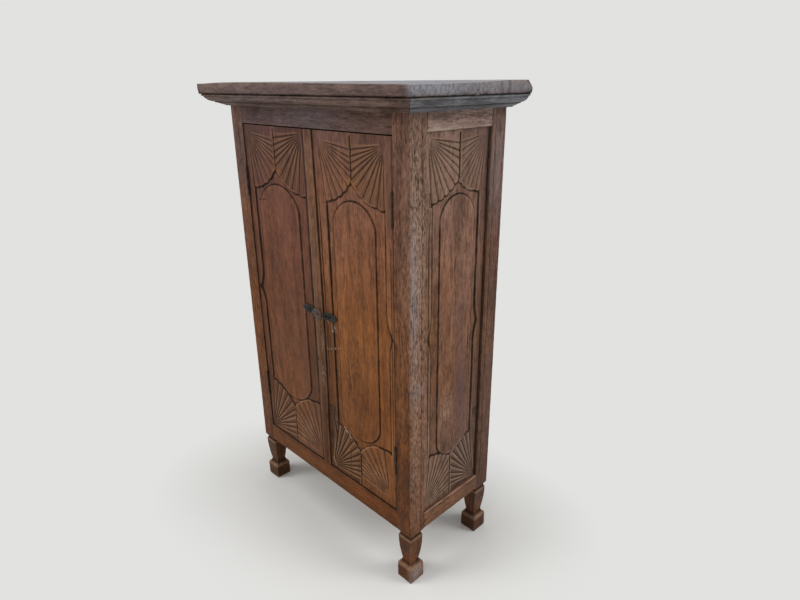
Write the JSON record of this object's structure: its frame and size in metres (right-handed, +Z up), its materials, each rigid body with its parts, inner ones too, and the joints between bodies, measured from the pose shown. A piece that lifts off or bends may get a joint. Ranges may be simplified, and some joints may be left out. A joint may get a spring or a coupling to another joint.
{
  "type": "cabinet",
  "caption": "Free-standing two-door wooden trastero cabinet on carved square legs, with fan-carved doors and sides, a moulded cornice, iron hinges and a hasp.",
  "frame": {"origin": "on the floor, under the middle of the whole footprint", "axes": "+Z up, +X to the right as seen from the front, -Y towards the front"},
  "size_m": [0.97, 0.477, 1.524],
  "materials": {
    "frame_wood": "old waxed hardwood, worn",
    "left_door_wood": "old waxed hardwood, reddish",
    "right_door_wood": "old waxed hardwood, golden",
    "side_wood": "old waxed hardwood, worn",
    "top_wood": "greyed bare hardwood",
    "inner_wood": "dry sawn boards",
    "iron": "blackened wrought iron"
  },
  "bodies": {
    "carcass": {"back_board_1": "inner_wood", "back_board_2": "inner_wood", "back_board_3": "inner_wood", "cornice_front": "top_wood", "cornice_left": "top_wood", "cornice_right": "top_wood", "door_stop": "inner_wood", "floor_board_back": "inner_wood", "floor_board_front": "inner_wood", "floor_cleat_back": "inner_wood", "floor_cleat_front": "inner_wood", "left_hinge_pin_lower": "iron", "left_hinge_pin_upper": "iron", "left_hinge_post_leaf_lower": "iron", "left_hinge_post_leaf_upper": "iron", "post_back_left": "frame_wood", "post_back_right": "frame_wood", "post_front_left": "frame_wood", "post_front_right": "frame_wood", "rail_back_bottom": "frame_wood", "rail_back_top": "frame_wood", "rail_front_bottom": "frame_wood", "rail_front_top": "frame_wood", "rail_left_bottom": "frame_wood", "rail_left_top": "frame_wood", "rail_right_bottom": "frame_wood", "rail_right_top": "frame_wood", "right_hinge_pin_lower": "iron", "right_hinge_pin_upper": "iron", "right_hinge_post_leaf_lower": "iron", "right_hinge_post_leaf_upper": "iron", "shelf_1": "inner_wood", "shelf_2": "inner_wood", "shelf_3": "inner_wood", "shelf_cleat_left_1": "inner_wood", "shelf_cleat_left_2": "inner_wood", "shelf_cleat_left_3": "inner_wood", "shelf_cleat_right_1": "inner_wood", "shelf_cleat_right_2": "inner_wood", "shelf_cleat_right_3": "inner_wood", "side_panel_left": "side_wood", "side_panel_right": "side_wood", "top_board_back": "top_wood", "top_board_front": "top_wood"},
    "left_door": {"latch_leaf": "iron", "latch_pin": "iron", "left_door_ledge_lower": "inner_wood", "left_door_ledge_upper": "inner_wood", "left_door_panel": "left_door_wood", "left_hinge_door_leaf_lower": "iron", "left_hinge_door_leaf_upper": "iron", "meeting_batten": "left_door_wood"},
    "right_door": {"latch_plate": "iron", "right_door_ledge_lower": "inner_wood", "right_door_ledge_upper": "inner_wood", "right_door_panel": "right_door_wood", "right_hinge_door_leaf_lower": "iron", "right_hinge_door_leaf_upper": "iron"},
    "latch": {"hasp": "iron"}
  },
  "joints": [
    {"name": "left_door_swing", "type": "hinge", "parent": "carcass", "child": "left_door", "pos_m": [-0.348, -0.1655, 0.83], "axis": [0, 0, -1], "range_deg": [0, 160]},
    {"name": "right_door_swing", "type": "hinge", "parent": "carcass", "child": "right_door", "pos_m": [0.348, -0.1655, 0.83], "axis": [0, 0, 1], "range_deg": [0, 160]},
    {"name": "hasp_swing", "type": "hinge", "parent": "left_door", "child": "latch", "pos_m": [-0.021, -0.1669, 0.834], "axis": [0, 0, -1], "range_deg": [0, 150]}
  ]
}
